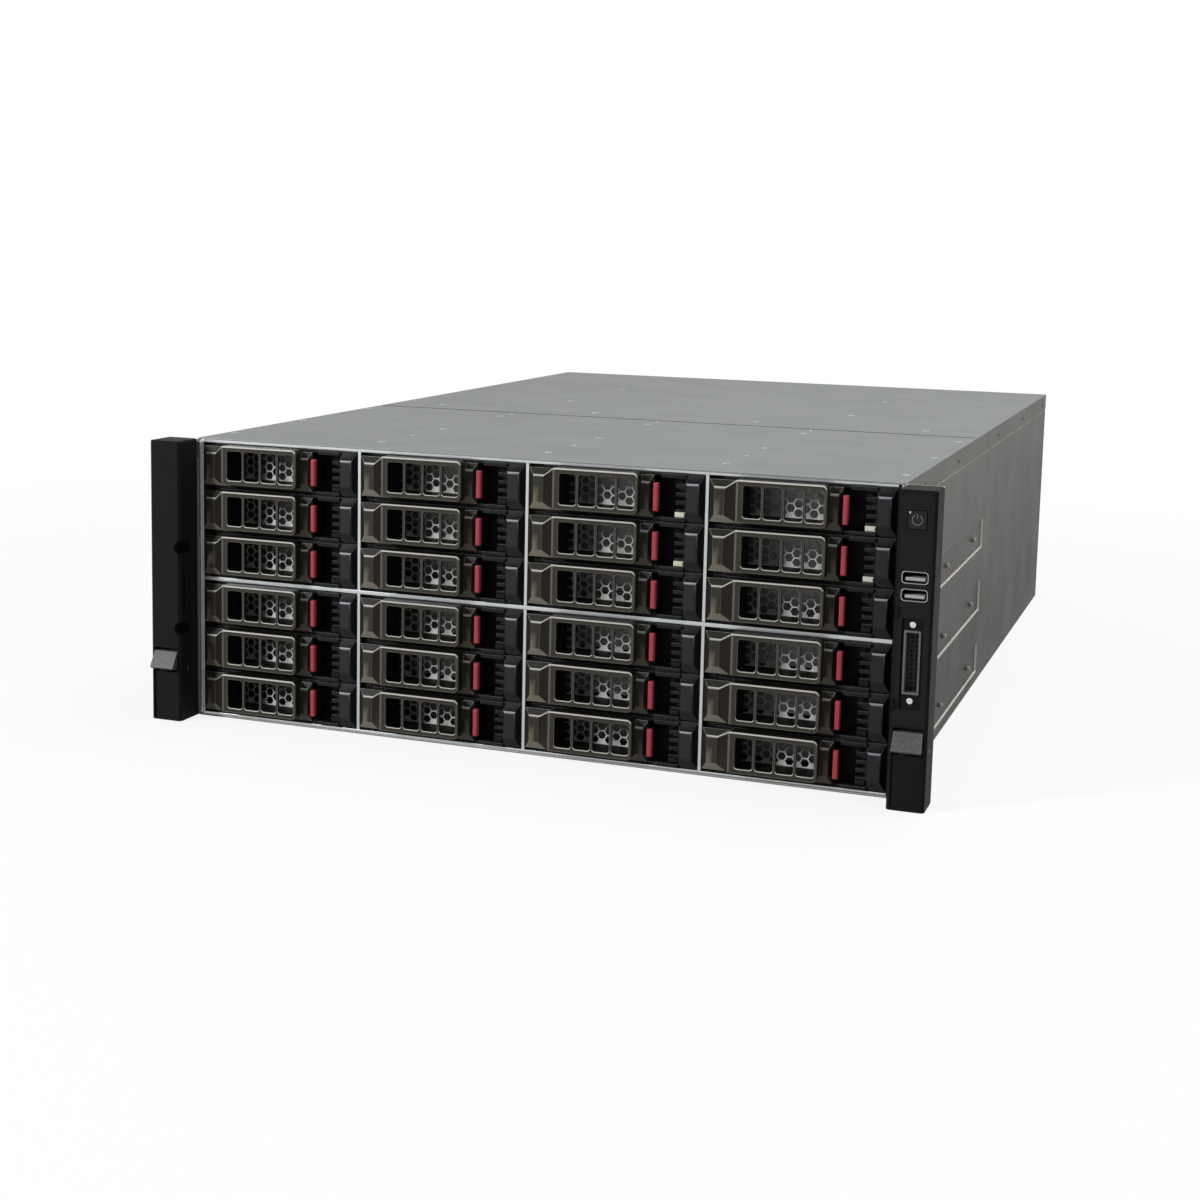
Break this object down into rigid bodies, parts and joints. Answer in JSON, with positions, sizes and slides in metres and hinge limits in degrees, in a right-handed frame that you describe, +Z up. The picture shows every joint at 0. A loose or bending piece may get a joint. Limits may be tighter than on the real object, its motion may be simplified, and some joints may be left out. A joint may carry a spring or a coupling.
{
  "type": "rack video surveillance server",
  "caption": "Rack video server: sheet-steel box with rack ears, a front grid of pull-out drive carriers with levers and red tabs, a sliding lid, fans and power supplies.",
  "frame": {"origin": "middle of the floor's front edge, on the plane where the rack flanges bear on the posts", "axes": "+X right seen from the front, +Y to the back, +Z up"},
  "size_m": [0.4826, 0.7106, 0.1765],
  "materials": {
    "cover_steel": "satin zinc-coated sheet",
    "side_steel": "satin zinc-coated sheet",
    "cage_steel": "bright zinc-coated sheet",
    "ear_plastic": "fine-grained black",
    "fascia_plastic": "polished black",
    "button_plastic": "satin black",
    "latch_grey": "grey metallic paint",
    "carrier_black": "black moulding round a metal drive",
    "lever_bronze": "dark bronze metallic paint",
    "release_red": "satin red",
    "socket_metal": "plated shell",
    "header_plastic": "moulded grey",
    "circuit_green": "solder mask",
    "fan_plastic": "moulded black",
    "heatsink_metal": "plain",
    "supply_metal": "zinc-coated case",
    "pin_steel": "plain"
  },
  "bodies": {
    "chassis": {"chassis_tray": "side_steel", "rail_studs": "pin_steel", "front_cover": "cover_steel", "rear_panel": "cage_steel", "io_ports": "socket_metal", "slot_covers": "cage_steel", "drive_cage": "cage_steel", "backplane": "circuit_green", "left_ear": "ear_plastic", "right_ear": "ear_plastic", "control_panel": "fascia_plastic", "control_board": "circuit_green", "usb_ports": "socket_metal", "panel_connector": "header_plastic", "latch_pins": "pin_steel", "fan_wall": "cage_steel", "fan_frames": "fan_plastic", "motherboard": "circuit_green", "cpu_heatsink": "heatsink_metal", "memory_modules": "circuit_green", "psu_cage": "cage_steel"},
    "rear_cover": {"rear_cover": "cover_steel"},
    "left_ear_latch": {"left_ear_latch": "latch_grey"},
    "right_ear_latch": {"right_ear_latch": "latch_grey"},
    "power_button": {"power_button": "button_plastic"},
    "psu_lower": {"psu_lower": "supply_metal"},
    "psu_upper": {"psu_upper": "supply_metal"},
    "psu_latch_lower": {"psu_latch_lower": "latch_grey"},
    "psu_latch_upper": {"psu_latch_upper": "latch_grey"},
    "fan_rotor_left": {"fan_rotor_left": "fan_plastic"},
    "fan_rotor_middle": {"fan_rotor_middle": "fan_plastic"},
    "fan_rotor_right": {"fan_rotor_right": "fan_plastic"},
    "carrier_c1r1": {"carrier_c1r1": "carrier_black"},
    "carrier_c1r2": {"carrier_c1r2": "carrier_black"},
    "carrier_c1r3": {"carrier_c1r3": "carrier_black"},
    "carrier_c1r4": {"carrier_c1r4": "carrier_black"},
    "carrier_c1r5": {"carrier_c1r5": "carrier_black"},
    "carrier_c1r6": {"carrier_c1r6": "carrier_black"},
    "carrier_c2r1": {"carrier_c2r1": "carrier_black"},
    "carrier_c2r2": {"carrier_c2r2": "carrier_black"},
    "carrier_c2r3": {"carrier_c2r3": "carrier_black"},
    "carrier_c2r4": {"carrier_c2r4": "carrier_black"},
    "carrier_c2r5": {"carrier_c2r5": "carrier_black"},
    "carrier_c2r6": {"carrier_c2r6": "carrier_black"},
    "carrier_c3r1": {"carrier_c3r1": "carrier_black"},
    "carrier_c3r2": {"carrier_c3r2": "carrier_black"},
    "carrier_c3r3": {"carrier_c3r3": "carrier_black"},
    "carrier_c3r4": {"carrier_c3r4": "carrier_black"},
    "carrier_c3r5": {"carrier_c3r5": "carrier_black"},
    "carrier_c3r6": {"carrier_c3r6": "carrier_black"},
    "carrier_c4r1": {"carrier_c4r1": "carrier_black"},
    "carrier_c4r2": {"carrier_c4r2": "carrier_black"},
    "carrier_c4r3": {"carrier_c4r3": "carrier_black"},
    "carrier_c4r4": {"carrier_c4r4": "carrier_black"},
    "carrier_c4r5": {"carrier_c4r5": "carrier_black"},
    "carrier_c4r6": {"carrier_c4r6": "carrier_black"},
    "lever_c4r1": {"lever_c4r1": "lever_bronze"},
    "lever_c4r2": {"lever_c4r2": "lever_bronze"},
    "release_tab_c4r1": {"release_tab_c4r1": "release_red"},
    "release_tab_c4r2": {"release_tab_c4r2": "release_red"}
  },
  "joints": [
    {"name": "rear_cover_slide", "type": "slide", "parent": "chassis", "child": "rear_cover", "axis": [0, 1, 0], "range_m": [0, 0.4]},
    {"name": "carrier_c1r1_slide", "type": "slide", "parent": "chassis", "child": "carrier_c1r1", "axis": [0, -1, 0], "range_m": [0, 0.195]},
    {"name": "carrier_c1r2_slide", "type": "slide", "parent": "chassis", "child": "carrier_c1r2", "axis": [0, -1, 0], "range_m": [0, 0.195]},
    {"name": "carrier_c1r3_slide", "type": "slide", "parent": "chassis", "child": "carrier_c1r3", "axis": [0, -1, 0], "range_m": [0, 0.195]},
    {"name": "carrier_c1r4_slide", "type": "slide", "parent": "chassis", "child": "carrier_c1r4", "axis": [0, -1, 0], "range_m": [0, 0.195]},
    {"name": "carrier_c1r5_slide", "type": "slide", "parent": "chassis", "child": "carrier_c1r5", "axis": [0, -1, 0], "range_m": [0, 0.195]},
    {"name": "carrier_c1r6_slide", "type": "slide", "parent": "chassis", "child": "carrier_c1r6", "axis": [0, -1, 0], "range_m": [0, 0.195]},
    {"name": "carrier_c2r1_slide", "type": "slide", "parent": "chassis", "child": "carrier_c2r1", "axis": [0, -1, 0], "range_m": [0, 0.195]},
    {"name": "carrier_c2r2_slide", "type": "slide", "parent": "chassis", "child": "carrier_c2r2", "axis": [0, -1, 0], "range_m": [0, 0.195]},
    {"name": "carrier_c2r3_slide", "type": "slide", "parent": "chassis", "child": "carrier_c2r3", "axis": [0, -1, 0], "range_m": [0, 0.195]},
    {"name": "carrier_c2r4_slide", "type": "slide", "parent": "chassis", "child": "carrier_c2r4", "axis": [0, -1, 0], "range_m": [0, 0.195]},
    {"name": "carrier_c2r5_slide", "type": "slide", "parent": "chassis", "child": "carrier_c2r5", "axis": [0, -1, 0], "range_m": [0, 0.195]},
    {"name": "carrier_c2r6_slide", "type": "slide", "parent": "chassis", "child": "carrier_c2r6", "axis": [0, -1, 0], "range_m": [0, 0.195]},
    {"name": "carrier_c3r1_slide", "type": "slide", "parent": "chassis", "child": "carrier_c3r1", "axis": [0, -1, 0], "range_m": [0, 0.195]},
    {"name": "carrier_c3r2_slide", "type": "slide", "parent": "chassis", "child": "carrier_c3r2", "axis": [0, -1, 0], "range_m": [0, 0.195]},
    {"name": "carrier_c3r3_slide", "type": "slide", "parent": "chassis", "child": "carrier_c3r3", "axis": [0, -1, 0], "range_m": [0, 0.195]},
    {"name": "carrier_c3r4_slide", "type": "slide", "parent": "chassis", "child": "carrier_c3r4", "axis": [0, -1, 0], "range_m": [0, 0.195]},
    {"name": "carrier_c3r5_slide", "type": "slide", "parent": "chassis", "child": "carrier_c3r5", "axis": [0, -1, 0], "range_m": [0, 0.195]},
    {"name": "carrier_c3r6_slide", "type": "slide", "parent": "chassis", "child": "carrier_c3r6", "axis": [0, -1, 0], "range_m": [0, 0.195]},
    {"name": "carrier_c4r1_slide", "type": "slide", "parent": "chassis", "child": "carrier_c4r1", "axis": [0, -1, 0], "range_m": [0, 0.195]},
    {"name": "carrier_c4r2_slide", "type": "slide", "parent": "chassis", "child": "carrier_c4r2", "axis": [0, -1, 0], "range_m": [0, 0.195]},
    {"name": "carrier_c4r3_slide", "type": "slide", "parent": "chassis", "child": "carrier_c4r3", "axis": [0, -1, 0], "range_m": [0, 0.195]},
    {"name": "carrier_c4r4_slide", "type": "slide", "parent": "chassis", "child": "carrier_c4r4", "axis": [0, -1, 0], "range_m": [0, 0.195]},
    {"name": "carrier_c4r5_slide", "type": "slide", "parent": "chassis", "child": "carrier_c4r5", "axis": [0, -1, 0], "range_m": [0, 0.195]},
    {"name": "carrier_c4r6_slide", "type": "slide", "parent": "chassis", "child": "carrier_c4r6", "axis": [0, -1, 0], "range_m": [0, 0.195]},
    {"name": "lever_c4r1_swing", "type": "hinge", "parent": "carrier_c4r1", "child": "lever_c4r1", "pos_m": [0.11395, -0.001, 0.15988], "axis": [0, 0, -1], "range_deg": [0, 50]},
    {"name": "release_tab_c4r1_push", "type": "slide", "parent": "carrier_c4r1", "child": "release_tab_c4r1", "axis": [1, 0, 0], "range_m": [0, 0.003], "stiffness_N_per_m": 600},
    {"name": "lever_c4r2_swing", "type": "hinge", "parent": "carrier_c4r2", "child": "lever_c4r2", "pos_m": [0.11395, -0.001, 0.13177], "axis": [0, 0, -1], "range_deg": [0, 50]},
    {"name": "release_tab_c4r2_push", "type": "slide", "parent": "carrier_c4r2", "child": "release_tab_c4r2", "axis": [1, 0, 0], "range_m": [0, 0.003], "stiffness_N_per_m": 600},
    {"name": "left_ear_latch_press", "type": "hinge", "parent": "chassis", "child": "left_ear_latch", "pos_m": [-0.2309, -0.013, 0.033], "axis": [1, 0, 0], "range_deg": [0, 12], "stiffness_Nm_per_rad": 0.6},
    {"name": "right_ear_latch_press", "type": "hinge", "parent": "chassis", "child": "right_ear_latch", "pos_m": [0.2309, -0.013, 0.033], "axis": [1, 0, 0], "range_deg": [0, 12], "stiffness_Nm_per_rad": 0.6},
    {"name": "power_button_press", "type": "slide", "parent": "chassis", "child": "power_button", "axis": [0, 1, 0], "range_m": [0, 0.001], "stiffness_N_per_m": 800},
    {"name": "fan_left_spin", "type": "hinge", "parent": "chassis", "child": "fan_rotor_left", "pos_m": [-0.14, 0.287, 0.08825], "axis": [0, 1, 0], "continuous": true},
    {"name": "fan_middle_spin", "type": "hinge", "parent": "chassis", "child": "fan_rotor_middle", "pos_m": [0, 0.287, 0.08825], "axis": [0, 1, 0], "continuous": true},
    {"name": "fan_right_spin", "type": "hinge", "parent": "chassis", "child": "fan_rotor_right", "pos_m": [0.14, 0.287, 0.08825], "axis": [0, 1, 0], "continuous": true},
    {"name": "psu_lower_slide", "type": "slide", "parent": "chassis", "child": "psu_lower", "axis": [0, 1, 0], "range_m": [0, 0.19]},
    {"name": "psu_latch_lower_press", "type": "hinge", "parent": "psu_lower", "child": "psu_latch_lower", "pos_m": [-0.1382, 0.6634, 0.0195], "axis": [0, 0, 1], "range_deg": [0, 8], "stiffness_Nm_per_rad": 0.2},
    {"name": "psu_upper_slide", "type": "slide", "parent": "chassis", "child": "psu_upper", "axis": [0, 1, 0], "range_m": [0, 0.19]},
    {"name": "psu_latch_upper_press", "type": "hinge", "parent": "psu_upper", "child": "psu_latch_upper", "pos_m": [-0.1382, 0.6634, 0.0615], "axis": [0, 0, 1], "range_deg": [0, 8], "stiffness_Nm_per_rad": 0.2}
  ]
}
